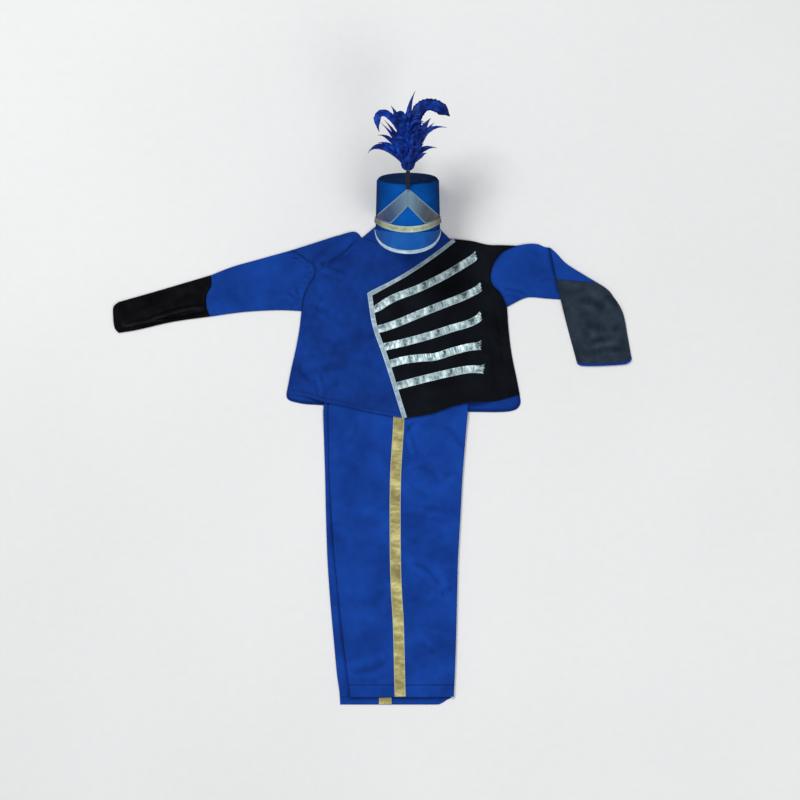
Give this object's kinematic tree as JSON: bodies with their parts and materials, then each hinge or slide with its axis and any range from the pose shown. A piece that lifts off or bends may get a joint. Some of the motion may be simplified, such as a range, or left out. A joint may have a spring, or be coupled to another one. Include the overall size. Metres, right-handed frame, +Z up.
{
  "type": "marching band uniform",
  "caption": "Child's band uniform laid out flat: blue and black jacket with silver braids, blue trousers with a gold stripe, and a blue plumed shako.",
  "frame": {"origin": "on the ground, under the middle of the whole laid-out set", "axes": "+Z up off the ground, +Y from the trouser hems towards the plume, +X towards the wearer's left"},
  "size_m": [1.1393, 1.323, 0.2546],
  "materials": {
    "blue_cloth": "plain woven cloth with a slight sheen",
    "black_cloth": "matt woven cloth",
    "black_satin": "satin",
    "silver_ribbon": "crinkled metallic ribbon",
    "gold_ribbon": "metallic ribbon",
    "shako_cover": "smooth cover with a soft gloss",
    "shako_top": "dark cloth",
    "dark_plastic": "glossy",
    "feather": "dyed feathers"
  },
  "bodies": {
    "root": {"jacket_back": "blue_cloth", "jacket_front_right": "blue_cloth", "jacket_front_left": "black_cloth", "front_trim": "silver_ribbon", "braid_1": "silver_ribbon", "braid_2": "silver_ribbon", "braid_3": "silver_ribbon", "braid_4": "silver_ribbon", "braid_5": "silver_ribbon", "collar": "blue_cloth", "sleeve_right": "blue_cloth", "gauntlet_right": "black_satin", "sleeve_left": "blue_cloth", "gauntlet_left": "black_satin", "cuff_band_left": "blue_cloth", "leg_left": "blue_cloth", "leg_right": "blue_cloth", "waistband": "blue_cloth", "stripe_left": "gold_ribbon", "stripe_right_end": "gold_ribbon", "shako_crown": "shako_cover", "shako_top": "shako_top", "shako_visor": "shako_cover", "visor_edging": "silver_ribbon", "shako_band": "gold_ribbon", "chevron_right": "silver_ribbon", "chevron_left": "silver_ribbon", "strap_button_right": "dark_plastic", "strap_button_left": "dark_plastic", "plume_stem": "dark_plastic", "plume": "feather"}
  },
  "joints": []
}
